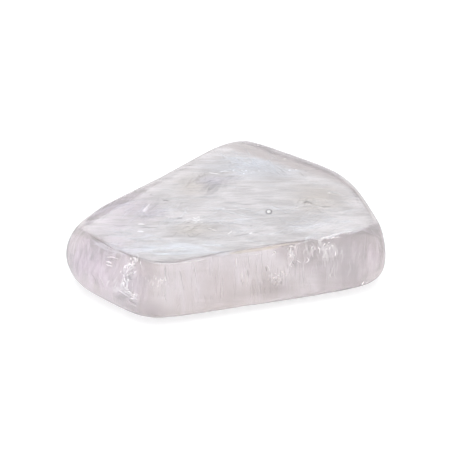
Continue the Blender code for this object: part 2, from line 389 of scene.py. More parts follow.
# Streaks and clouds: how long they are along X, Y and Z in millimetres, how fine and how twisted.
# The mottle is that of the flaws, and the noise span is what colours the noise from dark to light.
TOP_STREAK_SIZE = (4.0, 0.6, 1.5)
SIDE_STREAK_SIZE = (0.7, 0.7, 7.0)
STREAK_DETAIL = 5.0
TOP_STREAK_TWIST = 0.6
SIDE_STREAK_TWIST = 0.4
CLOUD_SIZE = (9.0, 5.0, 5.0)
CLOUD_DETAIL = 3.0
CLOUD_TWIST = 0.8
CLOUD_SHARE = 0.8
MOTTLE_SIZE = (0.4, 0.4, 0.4)
MOTTLE_DETAIL = 3.0
NOISE_SPAN = (0.35, 0.65)

# Painted shade on the edges and the rim: the bevel, the top's edge, the base's edge in front and
# the rim where the surface turns away are darkened in colour, standing for the shade that lies
# there.
# Where their colour starts and ends, as tilts, as Y in millimetres for the base's edge, and as how
# far the surface turns away for the rim
BEVEL_TILT = (0.07, 0.17)
BEVEL_SHADE = (0.54, 0.49, 0.475, 1.0)
TOP_EDGE_TILT = (0.42, 0.62, 0.93, 0.985)
TOP_EDGE_SHADE = (0.84, 0.80, 0.80, 1.0)
BASE_EDGE_TILT = (0.55, 0.80, 0.93, 0.985)
BASE_EDGE_SHADE = (0.42, 0.40, 0.41, 1.0)
BASE_EDGE_UNTIL_Y = (-4.0, 0.0)
RIM_SPAN = (0.56, 0.84)
RIM_SHADE = (0.38, 0.36, 0.37, 1.0)

# Gloss, relief of the streaks, the darkest and lightest tints of the streaks, and the absorption.
# The top's tints are darker and greyer than the sides': painted shade on the top.
GLOSS = 0.35
RIM_GLOSS = 0.0
STREAK_BUMP = 0.7
STREAK_DEPTH = 0.00005
SIDE_DARK = (0.88, 0.82, 0.82, 1.0)
SIDE_LIGHT = (0.99, 0.94, 0.93, 1.0)
TOP_DARK = (0.66, 0.645, 0.64, 1.0)
TOP_LIGHT = (0.91, 0.895, 0.90, 1.0)
ABSORPTION_COLOUR = (0.60, 0.50, 0.53, 1.0)
ABSORPTION_DENSITY = 12.0

# Finish of the flaws and the drawn marks: broken or cloudy quartz is mottled between two colours,
# has a glow, which is painted light that stands for the light that it scatters, and covers only a
# share of what lies behind it
Flaw = namedtuple("Flaw", "dark light glow cover")
FLAW_ROUGHNESS = 0.5
BRIGHT_CRACK_AND_GLINT = Flaw((0.88, 0.88, 0.90, 1.0), WHITE, 0.50, 1.0)
SOFT_CRACK = Flaw((0.86, 0.86, 0.90, 1.0), WHITE, 0.50, 0.50)
DARK_CRACK = Flaw((0.22, 0.21, 0.22, 1.0), (0.32, 0.30, 0.31, 1.0), 0.0, 1.0)
PALE_SILK = Flaw((0.80, 0.80, 0.84, 1.0), (0.97, 0.97, 1.0, 1.0), 0.12, 0.35)
PALE_VEIL = Flaw((0.84, 0.87, 0.94, 1.0), (0.93, 0.96, 1.0, 1.0), 0.30, 0.22)
WHITE_VEIL = Flaw((0.92, 0.92, 0.96, 1.0), WHITE, 0.45, 0.13)
ROSY_VEIL = Flaw((0.90, 0.80, 0.89, 1.0), (0.98, 0.88, 0.97, 1.0), 0.30, 0.09)
SMOKY_VEIL = Flaw((0.40, 0.36, 0.45, 1.0), (0.50, 0.46, 0.55, 1.0), 0.0, 0.04)
WARM_VEIL = Flaw((0.60, 0.54, 0.44, 1.0), (0.72, 0.66, 0.56, 1.0), 0.0, 0.12)
CREASE_SHADE_GREY = Flaw((0.28, 0.25, 0.26, 1.0), (0.38, 0.34, 0.35, 1.0), 0.0, 0.65)
CREASE_WARM = Flaw((0.70, 0.62, 0.46, 1.0), (0.82, 0.74, 0.58, 1.0), 0.35, 0.30)

# Tinted zones of the quartz: the middle and reach of each in millimetres, and its colour
Zone = namedtuple("Zone", "middle reach colour")
# Bluish clouds on the top: partly milky quartz, partly a painted reflection of the bluer sky
FRONT_CLOUD_AND_SHEEN = Zone((-5.5, -12.2, 9.0), (10.5, 3.0, 3.0), (0.97, 0.985, 1.0, 1.0))
LEFT_CLOUD_AND_SHEEN = Zone((-11.5, -8.8, 9.0), (4.5, 3.0, 3.0), (0.97, 0.97, 1.0, 1.0))
APEX_CLOUD_AND_SHEEN = Zone((4.0, 5.6, 9.8), (9.5, 4.2, 3.0), (0.74, 0.785, 0.85, 1.0))
APEX_SHADE = Zone((-1.8, 2.6, 9.7), (4.0, 1.6, 2.0), (0.72, 0.70, 0.77, 1.0))
LEFT_SHADE = Zone((-9.6, -4.6, 9.2), (2.6, 1.3, 2.0), (0.74, 0.70, 0.76, 1.0))
SLOPE_TINT = Zone((-11.8, -3.8, 9.3), (6.0, 4.5, 3.0), (0.71, 0.65, 0.71, 1.0))
WARM_RIGHT = Zone((12.0, -1.5, 9.5), (5.0, 4.0, 3.0), (0.77, 0.72, 0.66, 1.0))
WARM_LEFT = Zone((-4.3, 1.6, 9.6), (3.2, 4.0, 3.0), (0.80, 0.75, 0.69, 1.0))
WARM_MIDDLE = Zone((-3.9, -8.3, 9.1), (4.5, 2.2, 3.0), (0.76, 0.72, 0.67, 1.0))
LEFT_TINT = Zone((-17.5, -9.5, 5.0), (11.0, 10.0, 10.0), (1.0, 0.935, 1.0, 1.0))
CORNER_TINT = Zone((-12.5, -14.5, 4.0), (4.5, 4.0, 6.0), (0.94, 0.905, 0.945, 1.0))
FRONT_TINT = Zone((0.8, -14.5, 4.0), (16.8, 5.0, 7.0), (0.715, 0.64, 0.615, 1.0))
ZONES = (
    SLOPE_TINT, WARM_RIGHT, WARM_LEFT, WARM_MIDDLE, FRONT_CLOUD_AND_SHEEN, LEFT_CLOUD_AND_SHEEN, APEX_CLOUD_AND_SHEEN, APEX_SHADE,
    LEFT_SHADE, LEFT_TINT, FRONT_TINT, CORNER_TINT,
)
ZONE_STRENGTH = 0.95
ZONE_RAGGEDNESS = 0.9

# Studio: a white floor with a glow of its own, and a white world that is brighter and bluer behind
# the stone. The turn is the world's Y, and the rise is its Z, over which its colour changes.
FLOOR_HALF = 3.0
FLOOR_DROP = 0.00002
FLOOR_COLOUR = (0.62, 0.62, 0.62, 1.0)
FLOOR_GLOW = 0.54
WORLD_STRENGTH = 1.0
WORLD_BACK = (1.16, 1.19, 1.26, 1.0)
WORLD_TURN = (-0.2, 0.6)
WORLD_RISE = (0.05, 0.40)
OVERHEAD_POWER = 4.0
OVERHEAD_HEIGHT = 1.2
OVERHEAD_SIDE = 1.2
LIGHT_BOUNCES = 32


def outward(face):
    """Unit vector that a face looks along."""
    heading = math.radians(face.heading)
    lean = math.radians(face.lean)
    flat = math.cos(lean)
    return np.array((math.cos(heading) * flat, math.sin(heading) * flat, math.sin(lean)))


def smooth_max(fields, wear):
    """Largest of the fields at each point, with the change from one to the next worn round."""
    stack = np.stack(fields)
    largest = stack.max(axis=0)
    return largest + wear * np.log(np.exp((stack - largest) / wear).sum(axis=0))


def height_over(points, face):
    """Signed distance of the points in front of a face."""
    return (points - np.array(MIDDLE)) @ outward(face) - face.distance


def side_field(points):
    """The upright faces together, with worn corners: negative inside the outline."""
    return smooth_max([height_over(points, face) for face in SIDE_FACES], CORNER_WEAR)


def distance_from_axis_squared(points):
    """Squared distance of the points from the upright line through the origin."""
    return points[:, 0] ** 2 + points[:, 1] ** 2


def top_face_height(points):
    """Height of the crowned top face above or below each point's place."""
    crown = distance_from_axis_squared(points) / (2.0 * TOP_CROWN_RADIUS)
    return TOP_HEIGHT + TOP_RISE_X * points[:, 0] + TOP_RISE_Y * points[:, 1] - crown


def top_field(points):
    """The crowned top face and the bevel at its back right edge."""
    face = points[:, 2] - top_face_height(points)
    return smooth_max([face, height_over(points, BACK_BEVEL)], BEVEL_WEAR)


def base_field(points):
    """The bowed base, low enough for its middle to be worn flat."""
    bow = distance_from_axis_squared(points) / (2.0 * BASE_BOW_RADIUS)
    return bow - points[:, 2] - BASE_CUT


def wave_field(points, waves):
    """Low waves in many directions, for faces that are worn rather than machined."""
    random = np.random.default_rng(waves.seed)
    total = np.zeros(len(points))
    for _ in range(waves.count):
        direction = random.normal(size=3)
        direction /= np.linalg.norm(direction)
        wavelength = random.uniform(waves.shortest, waves.longest)
        phase = random.uniform(0.0, 2.0 * math.pi)
        total += np.sin(points @ direction * 2.0 * math.pi / wavelength + phase)
    return total * waves.height


def top_edge_wear(points):
    """Wear of the top's edge, which grows from the front of the stone to its back and its ends."""
    back_span = TOP_EDGE_SOFT_FROM_Y - TOP_EDGE_SOFTENS_FROM_Y
    end_span = TOP_EDGE_SOFT_FROM_X - TOP_EDGE_SOFTENS_FROM_X
    backward = (points[:, 1] - TOP_EDGE_SOFTENS_FROM_Y) / back_span
    sideways = (np.abs(points[:, 0]) - TOP_EDGE_SOFTENS_FROM_X) / end_span
    share = np.clip(np.maximum(backward, sideways), 0.0, 1.0)
    eased = share * share * (3.0 - 2.0 * share)
    return TOP_EDGE_WEAR_FRONT + (TOP_EDGE_WEAR_BACK - TOP_EDGE_WEAR_FRONT) * eased


def stone_field(points):
    """The whole worn stone: negative inside, zero on its surface."""
    upper = smooth_max([side_field(points), top_field(points)], top_edge_wear(points))
    whole = smooth_max([upper, base_field(points)], BASE_EDGE_WEAR)
    return whole + wave_field(points, SWELLS) + wave_field(points, RIPPLES)


def surface_distance(starts, directions, field, furthest):
    """How far along each direction the field crosses zero."""
    near = np.zeros(len(directions))
    far = np.full(len(directions), furthest)
    for _ in range(SEARCH_STEPS):
        halfway = (near + far) / 2.0
        inside = field(starts + directions * halfway[:, None]) < 0.0
        near = np.where(inside, halfway, near)
        far = np.where(inside, far, halfway)
    return near


def outline_radius(turns, height):
    """Distance from the middle to the side faces at one height, for each turn around the stone."""
    directions = np.stack([np.cos(turns), np.sin(turns), np.zeros(len(turns))], axis=1)
    starts = np.zeros((len(turns), 3))
    starts[:, 0] = MIDDLE.x
    starts[:, 1] = MIDDLE.y
    starts[:, 2] = height
    return surface_distance(starts, directions, side_field, OUTLINE_REACH)


def ring_guides():
    """Share of the outline's radius and share of the height, for each ring from top to base."""
    guides = []
    for ring in range(TOP_RINGS):
        share = ring / TOP_RINGS
        guides.append((1.0 - (1.0 - share) ** TOP_CROWDING, 1.0))
    for ring in range(SIDE_RINGS):
        share = ring / SIDE_RINGS
        guides.append((1.0, (1.0 + math.cos(math.pi * share)) / 2.0))
    for ring in range(BASE_RINGS + 1):
        share = 1.0 - ring / BASE_RINGS
        guides.append((1.0 - (1.0 - share) ** BASE_CROWDING, 0.0))
    return guides


def guide_points(columns, rings):
    """Points near the stone's surface, for vertices given by their column and ring."""
    guides = np.array(ring_guides())
    reach = guides[rings, 0]
    rise = guides[rings, 1]
    turns = np.arange(COLUMNS) * 2.0 * math.pi / COLUMNS
    top_radius = outline_radius(turns, TOP_HEIGHT)[columns]
    base_radius = outline_radius(turns, 0.0)[columns]
    radius = reach * (base_radius + (top_radius - base_radius) * rise)
    points = np.zeros((len(columns), 3))
    points[:, 0] = MIDDLE.x + np.cos(turns)[columns] * radius
    points[:, 1] = MIDDLE.y + np.sin(turns)[columns] * radius
    bevel_height = -height_over(points, BACK_BEVEL) / outward(BACK_BEVEL)[2]
    points[:, 2] = np.minimum(top_face_height(points), bevel_height) * rise
    return points


def press_onto_stone(columns, rings):
    """Places on the stone's surface, for vertices given by their column and ring."""
    middle = np.array(MIDDLE)
    directions = guide_points(columns, rings) - middle
    starts = np.tile(middle, (len(columns), 1))
    distance = surface_distance(starts, directions, stone_field, STONE_REACH)
    places = starts + directions * distance[:, None]
    places[:, 2] = np.maximum(places[:, 2], 0.0)
    return places


def sphere_grid(sphere):
    """Column and ring of each vertex of a sphere made of columns and rings."""
    columns = []
    rings = []
    for vertex in sphere.verts:
        turn = math.atan2(vertex.co.y, vertex.co.x)
        columns.append(round(turn / (2.0 * math.pi) * COLUMNS) % COLUMNS)
        fall = math.acos(max(-1.0, min(1.0, vertex.co.z)))
        rings.append(round(fall / math.pi * RING_COUNT))
    return np.array(columns), np.array(rings)


def link_piece(name, mesh, material):
    """A piece of the stone, which stays with it."""
    piece = bpy.data.objects.new(name, mesh)
    mesh.materials.append(material)
    bpy.context.scene.collection.objects.link(piece)
    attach(piece, BODY)
    return piece


def stone_mesh():
    """A sphere of columns and rings, pressed onto the worn stone."""
    sphere = bmesh.new()
    bmesh.ops.create_uvsphere(sphere, u_segments=COLUMNS, v_segments=RING_COUNT, radius=1.0)
    columns, rings = sphere_grid(sphere)
    places = press_onto_stone(columns, rings)
    for vertex, place in zip(sphere.verts, places):
        vertex.co = Vector(place)
    bmesh.ops.recalc_face_normals(sphere, faces=sphere.faces)
    mesh = bpy.data.meshes.new("quartz_body")
    sphere.to_mesh(mesh)
    sphere.free()
    mesh.shade_smooth()
    return mesh


def camera_axes():
    """Unit vectors from the stone towards the camera, to the camera's right and to its top."""
    elevation = math.radians(CAMERA_ELEVATION)
    back = np.array((0.0, -math.cos(elevation), math.sin(elevation)))
    right = np.array((1.0, 0.0, 0.0))
    return back, right, np.cross(back, right)


def seen_at(pixels):
    """Places on the stone's surface that show at those pixels of the photograph."""
    back, right, up = camera_axes()
    pixels = np.array(pixels)
    across = (pixels[:, :1] + 0.5 - PHOTO_SIDE / 2.0) * CAMERA_SENSOR / (CAMERA_LENS * PHOTO_SIDE)
    down = (pixels[:, 1:] + 0.5 - PHOTO_SIDE / 2.0) * CAMERA_SENSOR / (CAMERA_LENS * PHOTO_SIDE)
    directions = right * across - up * down - back
    places = np.array(CAMERA_TARGET) + back * CAMERA_DISTANCE + directions * SIGHT_START
    directions /= np.linalg.norm(directions, axis=1)[:, None]
    for _ in range(SIGHT_STEPS):
        places = places + directions * stone_field(places)[:, None]
    return places


def uphill(points):
    """Outward unit vectors of the stone's surface near the points."""
    slopes = []
    for axis in range(3):
        nudge = np.zeros(3)
        nudge[axis] = SLOPE_STEP
        slopes.append(stone_field(points + nudge) - stone_field(points - nudge))
    slopes = np.stack(slopes, axis=1)
    return slopes / np.linalg.norm(slopes, axis=1)[:, None]


def sink(points, depth):
    """Move points along the surface's normal until they lie at that depth below it."""
    for _ in range(SINK_STEPS):
        points = points - uphill(points) * (stone_field(points) + depth)[:, None]
    return points


def curve_through(points, spacing):
    """Points at about that spacing along a smooth curve through the given points."""
    points = np.array(points, dtype=float)
    if len(points) == 2:
        points = np.array((points[0], (points[0] + points[1]) / 2.0, points[1]))
    padded = np.vstack([2.0 * points[0] - points[1], points, 2.0 * points[-1] - points[-2]])
    curve = []
    for before, start, end, after in zip(padded, padded[1:], padded[2:], padded[3:]):
        count = max(2, math.ceil(np.linalg.norm(end - start) / spacing))
        for share in np.arange(count) / count:
            pull = (end - before) * share
            bend = (2.0 * before - 5.0 * start + 4.0 * end - after) * share ** 2
            twist = (3.0 * start - before - 3.0 * end + after) * share ** 3
            curve.append(start + (pull + bend + twist) / 2.0)
    curve.append(points[-1])
    return np.array(curve)


def add_sliver(mesh, line, normals, width, thickness):
    """A closed sliver along a line of points, flat to the surface and pointed at both ends."""
    along = np.gradient(line, axis=0)
    sides = np.cross(normals, along)
    sides /= np.linalg.norm(sides, axis=1)[:, None]
    count = len(line)
    tip = mesh.verts.new(Vector(line[0]))
    rings = []
    for index in range(1, count - 1):
        swell = math.sin(math.pi * index / (count - 1)) ** SLIVER_BLUNTNESS
        side = sides[index] * width * swell / 2.0
        lift = normals[index] * thickness * swell / 2.0
        ring = []
        for offset in (side, lift, -side, -lift):
            ring.append(mesh.verts.new(Vector(line[index] + offset)))
        rings.append(ring)
    tail = mesh.verts.new(Vector(line[-1]))
    for corner in range(4):
        following = (corner + 1) % 4
        mesh.faces.new((tip, rings[0][following], rings[0][corner]))
        for ring, after in zip(rings, rings[1:]):
            mesh.faces.new((ring[corner], ring[following], after[following], after[corner]))
        mesh.faces.new((tail, rings[-1][corner], rings[-1][following]))


def finish_slivers(name, mesh, material):
    """Close a mesh of slivers and hang it in the stone."""
    bmesh.ops.recalc_face_normals(mesh, faces=mesh.faces)
    data = bpy.data.meshes.new(name)
    mesh.to_mesh(data)
    mesh.free()
    data.shade_smooth()
    link_piece(name, data, material)


def add_drawn_marks(name, strokes, depth, material):
    """Cracks, bruises, and painted shade and highlights, seen at drawn places: each stroke is its
    points and its width.
    """
    curves = [curve_through(points, STROKE_SPACING) for points, _ in strokes]
    cuts = np.cumsum([len(curve) for curve in curves])[:-1]
    places = sink(seen_at(np.vstack(curves)), depth)
    normals = uphill(places)
    mesh = bmesh.new()
    for line, out, (_, width) in zip(np.split(places, cuts), np.split(normals, cuts), strokes):
        add_sliver(mesh, line, out, width * PIXEL_SIZE, SLIVER_THICKNESS)
    finish_slivers(name, mesh, material)


def add_bubble(bright, dark):
    """A small bubble: a glowing bright lens, which is a painted highlight, with a dark rim behind
    it, which is painted shade.
    """
    for name, reach, depth, material in (
        ("bubble_core", BUBBLE_REACH, FLAW_DEPTH, bright),
        ("bubble_rim", BUBBLE_RIM_REACH, BUBBLE_RIM_DEPTH, dark),
    ):
        mesh = bmesh.new()
        bmesh.ops.create_uvsphere(
            mesh, u_segments=BUBBLE_COLUMNS, v_segments=BUBBLE_RINGS, radius=1.0)
        middle = sink(seen_at([BUBBLE_AT]), depth)
        normal = Vector(uphill(middle)[0])
        turn = normal.to_track_quat("Z", "Y")
        scale = Vector((reach[0], reach[1], BUBBLE_FLATNESS)) * PIXEL_SIZE
        for vertex in mesh.verts:
            vertex.co = Vector(middle[0]) + turn @ (vertex.co * scale)
        finish_slivers(name, mesh, material)


def veil_lines(veil):
    """The wisps of a veil below the stone's surface: their points, normals and widths."""
    random = np.random.default_rng(veil.seed)
    middles = np.array(veil.middle) + random.normal(0.0, 0.5, (veil.count, 2)) * veil.reach
    turns = np.radians(random.normal(veil.turn, veil.sway, veil.count))
    lengths = random.uniform(*veil.lengths, veil.count)
    bends = random.normal(0.0, veil.bend, veil.count)
    heading = np.stack([np.cos(turns), -np.sin(turns)], axis=1)
    sideways = np.stack([np.sin(turns), np.cos(turns)], axis=1)
    shares = np.linspace(-0.5, 0.5, VEIL_POINTS)
    straight = (heading * lengths[:, None])[:, None] * shares[None, :, None]
    arched = (sideways * bends[:, None])[:, None] * (1.0 - 4.0 * shares ** 2)[None, :, None]
    pixels = middles[:, None] + straight + arched
    places = seen_at(pixels.reshape(-1, 2))
    found = np.abs(stone_field(places)).reshape(veil.count, VEIL_POINTS).max(axis=1) < VEIL_MISS
    widths = random.uniform(*veil.widths, veil.count) * PIXEL_SIZE
    depths = random.uniform(*VEIL_DEPTHS, veil.count)
    places = places.reshape(veil.count, VEIL_POINTS, 3)[found].reshape(-1, 3)
    places = sink(places, np.repeat(depths[found], VEIL_POINTS))
    normals = uphill(places)
    return places.reshape(-1, VEIL_POINTS, 3), normals.reshape(-1, VEIL_POINTS, 3), widths[found]


def add_veils(name, veils, material):
    """Soft veils inside the stone."""
    mesh = bmesh.new()
    for veil in veils:
        for line, normals, width in zip(*veil_lines(veil)):
            add_sliver(mesh, line, normals, width, SLIVER_THICKNESS)
    finish_slivers(name, mesh, material)


def top_starts(random, count):
    """Random places on the top face, clear of its edge."""
    low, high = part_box(CAD_NODE)
    places = []
    while len(places) < count:
        point = np.array([[random.uniform(low[0], high[0]), random.uniform(low[1], high[1]), 0.0]])
        point[:, 2] = top_face_height(point)
        if side_field(point)[0] < -SILK_EDGE_CLEARANCE:
            places.append(point[0])
    return np.array(places)


def side_starts(random, count):
    """Random places on the upright faces."""
    turns = random.uniform(0.0, 2.0 * math.pi, count)
    radius = outline_radius(turns, MIDDLE.z)
    places = np.zeros((count, 3))
    places[:, 0] = MIDDLE.x + np.cos(turns) * radius
    places[:, 1] = MIDDLE.y + np.sin(turns) * radius
    places[:, 2] = random.uniform(*SIDE_SILK_HEIGHTS, count)
    return places


def add_silk(name, silk, starts, heading, material):
    """Wisps that follow the surface below it, each nearly along the heading."""
    random = np.random.default_rng(silk.seed)
    places = starts(random, silk.count)
    sway = np.radians(random.normal(0.0, silk.sway, silk.count))
    across = np.cross(heading, uphill(places))
    headings = heading * np.cos(sway)[:, None] + across * np.sin(sway)[:, None]
    depths = random.uniform(*silk.depths, silk.count)
    lengths = random.uniform(*silk.lengths, silk.count)
    widths = random.uniform(*silk.widths, silk.count)
    lines = []
    for _ in range(SILK_POINTS):
        places = sink(places, depths)
        lines.append(places)
        normals = uphill(places)
        along = headings - normals * (headings * normals).sum(axis=1)[:, None]
        places = places + along * (lengths / SILK_POINTS)[:, None]
    lines = np.stack(lines, axis=1)
    normals = uphill(lines.reshape(-1, 3)).reshape(lines.shape)
    mesh = bmesh.new()
    for line, out, width in zip(lines, normals, widths):
        heights = line[:, 2]
        if heights.min() > SILK_EDGE_CLEARANCE and heights.max() < top_face_height(line).min():
            add_sliver(mesh, line, out, width, width / 2.0)
    finish_slivers(name, mesh, material)


def new_material(name):
    """A node material with only its shader and output."""
    material = bpy.data.materials.new(name)
    material.use_nodes = True
    return material


def add_node(tree, kind, **values):
    """A node of that kind, with the values of its inputs by name."""
    node = tree.nodes.new("ShaderNode" + kind)
    for name, value in values.items():
        node.inputs[name.replace("_", " ")].default_value = value
    return node


def streaks(tree, stretch, detail, distortion):
    """Noise stretched along one direction: its size along X, Y and Z is given in millimetres."""
    place = add_node(tree, "TexCoord")
    mapping = add_node(tree, "Mapping", Scale=[1000.0 / size for size in stretch])
    tree.links.new(place.outputs["Object"], mapping.inputs["Vector"])
    noise = add_node(tree, "TexNoise", Scale=1.0, Detail=detail, Distortion=distortion)
    tree.links.new(mapping.outputs["Vector"], noise.inputs["Vector"])
    return noise.outputs["Fac"]


def spread(tree, value, low, high, to_low=0.0, to_high=1.0):
    """The value's span from low to high, eased onto another span, or onto zero to one."""
    span = add_node(tree, "MapRange", From_Min=low, From_Max=high, To_Min=to_low, To_Max=to_high)
    span.interpolation_type = "SMOOTHSTEP"
    tree.links.new(value, span.inputs["Value"])
    return span.outputs["Result"]


def surface_tilt(tree):
    """Upward part of the surface's normal: one on the top, zero on an upright side."""
    geometry = add_node(tree, "NewGeometry")
    parts = add_node(tree, "SeparateXYZ")
    tree.links.new(geometry.outputs["Normal"], parts.inputs["Vector"])
    return parts.outputs["Z"]


def calculate(tree, operation, first, second):
    """A sum, product or the like of two values, each from a node or a number."""
    step = add_node(tree, "Math")
    step.operation = operation
    for socket, value in ((step.inputs[0], first), (step.inputs[1], second)):
        if isinstance(value, float):
            socket.default_value = value
        else:
            tree.links.new(value, socket)
    return step.outputs["Value"]


def looks_towards(tree, heading, span):
    """One where the surface leans towards a heading by the end of a span or more, else zero."""
    geometry = add_node(tree, "NewGeometry")
    share = add_node(tree, "VectorMath")
    share.operation = "DOT_PRODUCT"
    tree.links.new(geometry.outputs["Normal"], share.inputs[0])
    turn = math.radians(heading)
    share.inputs[1].default_value = (math.cos(turn), math.sin(turn), 0.0)
    return spread(tree, share.outputs["Value"], *span)


def edge_shade_band(tree, tilt, span):
    """One where the surface's tilt lies in a span with soft ends, and zero elsewhere."""
    start = spread(tree, tilt, span[0], span[1])
    end = spread(tree, tilt, span[2], span[3], 1.0, 0.0)
    return calculate(tree, "MULTIPLY", start, end)


def in_front(tree, span):
    """One in front of a span of Y in millimetres, and zero behind it."""
    place = add_node(tree, "TexCoord")
    parts = add_node(tree, "SeparateXYZ")
    tree.links.new(place.outputs["Object"], parts.inputs["Vector"])
    return spread(tree, parts.outputs["Y"], span[0] / 1000.0, span[1] / 1000.0, 1.0, 0.0)


def blend_values(tree, share, first, second):
    """First where the share is zero, second where it is one."""
    mix = tree.nodes.new("ShaderNodeMix")
    mix.data_type = "FLOAT"
    tree.links.new(share, mix.inputs[0])
    tree.links.new(first, mix.inputs[2])
    tree.links.new(second, mix.inputs[3])
    return mix.outputs[0]


def blend_colours(tree, share, first, second):
    """First colour where the share is zero, second where it is one."""
    mix = tree.nodes.new("ShaderNodeMix")
    mix.data_type = "RGBA"
    tree.links.new(share, mix.inputs[0])
    for socket, colour in ((mix.inputs[6], first), (mix.inputs[7], second)):
        if isinstance(colour, tuple):
            socket.default_value = colour
        else:
            tree.links.new(colour, socket)
    return mix.outputs[2]


def zone_share(tree, zone, ragged):
    """Near one inside a zone and zero outside it, with a ragged edge."""
    place = add_node(tree, "TexCoord")
    scale = [1000.0 / reach for reach in zone.reach]
    shift = [-middle / reach for middle, reach in zip(zone.middle, zone.reach)]
    mapping = add_node(tree, "Mapping", Scale=scale, Location=shift)
    tree.links.new(place.outputs["Object"], mapping.inputs["Vector"])
    distance = add_node(tree, "VectorMath")
    distance.operation = "LENGTH"
    tree.links.new(mapping.outputs["Vector"], distance.inputs[0])
    torn = calculate(tree, "MULTIPLY", ragged, -2.0 * ZONE_RAGGEDNESS)
    distance = calculate(tree, "ADD", distance.outputs["Value"], torn)
    return spread(tree, distance, -ZONE_RAGGEDNESS, 1.0 - ZONE_RAGGEDNESS, ZONE_STRENGTH, 0.0)


def quartz_material():
    """Clear quartz with a breath of lavender, polished, whose colour also carries painted shade on
    the top, the bevel, the edges and the rim, and bluish clouds on the top that are partly a
    painted reflection.
    """
    material = new_material("clear_quartz")
    tree = material.node_tree
    shader = tree.nodes["Principled BSDF"]
    shader.inputs["IOR"].default_value = QUARTZ_IOR
    shader.inputs["Transmission Weight"].default_value = QUARTZ_TRANSMISSION
    tilt = surface_tilt(tree)
    flat = spread(tree, calculate(tree, "ABSOLUTE", tilt, 0.0), *FLAT_TILT)
    top_streaks = streaks(tree, TOP_STREAK_SIZE, STREAK_DETAIL, TOP_STREAK_TWIST)
    side_streaks = streaks(tree, SIDE_STREAK_SIZE, STREAK_DETAIL, SIDE_STREAK_TWIST)
    clouds = streaks(tree, CLOUD_SIZE, CLOUD_DETAIL, CLOUD_TWIST)
    streak = blend_values(tree, flat, side_streaks, top_streaks)
    side_share = spread(tree, side_streaks, *NOISE_SPAN)
    cloudy = calculate(tree, "ADD", top_streaks, calculate(tree, "MULTIPLY", clouds, CLOUD_SHARE))
    cloudy_span = [end + CLOUD_SHARE / 2.0 for end in NOISE_SPAN]
    top_share = spread(tree, cloudy, *cloudy_span)
    side_colour = blend_colours(tree, side_share, SIDE_DARK, SIDE_LIGHT)
    top_colour = blend_colours(tree, top_share, TOP_DARK, TOP_LIGHT)
    # Painted shade: the top takes darker, greyer tints than the sides
    colour = blend_colours(tree, flat, side_colour, top_colour)
    for zone in ZONES:
        colour = blend_colours(tree, zone_share(tree, zone, streak), colour, zone.colour)
    # Painted shade: the bevel, picked out by the way it faces, is darkened in colour
    bevel = calculate(tree, "MULTIPLY", looks_towards(tree, BACK_BEVEL.heading, BEVEL_TILT), flat)
    colour = blend_colours(tree, bevel, colour, BEVEL_SHADE)
    # Painted shade: a band along the crease at the top's edge is darkened in colour
    colour = blend_colours(tree, edge_shade_band(tree, tilt, TOP_EDGE_TILT), colour, TOP_EDGE_SHADE)
    # Painted shade: a dark band along the base's edge in front, for the dark outline at the bottom
    below = edge_shade_band(tree, calculate(tree, "MULTIPLY", tilt, -1.0), BASE_EDGE_TILT)
    below = calculate(tree, "MULTIPLY", below, in_front(tree, BASE_EDGE_UNTIL_Y))
    colour = blend_colours(tree, below, colour, BASE_EDGE_SHADE)
    # Painted shade: where the surface turns away, its colour darkens to the rim shade and its gloss
    # fades
    facing = add_node(tree, "LayerWeight", Blend=0.5)
    rim = spread(tree, facing.outputs["Facing"], *RIM_SPAN)
    within = add_node(tree, "NewGeometry").outputs["Backfacing"]
    rim = calculate(tree, "MULTIPLY", rim, calculate(tree, "SUBTRACT", 1.0, within))
    colour = blend_colours(tree, rim, colour, RIM_SHADE)
    gloss = spread(tree, rim, 0.0, 1.0, GLOSS, RIM_GLOSS)
    tree.links.new(gloss, shader.inputs["Specular IOR Level"])
    tree.links.new(colour, shader.inputs["Base Color"])
    tree.links.new(spread(tree, streak, *HAZE_SPAN, *HAZE_ROUGHNESS), shader.inputs["Roughness"])
    bump = add_node(tree, "Bump", Strength=STREAK_BUMP, Distance=STREAK_DEPTH)
    tree.links.new(streak, bump.inputs["Height"])
    tree.links.new(bump.outputs["Normal"], shader.inputs["Normal"])
    volume = add_node(tree, "VolumeAbsorption", Color=ABSORPTION_COLOUR, Density=ABSORPTION_DENSITY)
    tree.links.new(volume.outputs["Volume"], tree.nodes["Material Output"].inputs["Volume"])
    return material


def mark_material(name, flaw):
    """Broken or cloudy quartz inside the stone, mottled between two colours, with a glow that is
    painted light; also the crease's painted shade.
    """
    material = new_material(name)
    tree = material.node_tree
    shader = tree.nodes["Principled BSDF"]
    shader.inputs["Roughness"].default_value = FLAW_ROUGHNESS
    # Painted light: the marks glow by themselves, standing for the light that they scatter
    shader.inputs["Emission Strength"].default_value = flaw.glow
    shader.inputs["Alpha"].default_value = flaw.cover
    mottle = spread(tree, streaks(tree, MOTTLE_SIZE, MOTTLE_DETAIL, 0.0), *NOISE_SPAN)
    colour = blend_colours(tree, mottle, flaw.dark, flaw.light)
    tree.links.new(colour, shader.inputs["Base Color"])
    tree.links.new(colour, shader.inputs["Emission Color"])
    return material


def add_stone():
    """The stone's body, which stands for its solid."""
    body = link_piece("quartz_body", stone_mesh(), quartz_material())
    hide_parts(CAD_NODE)


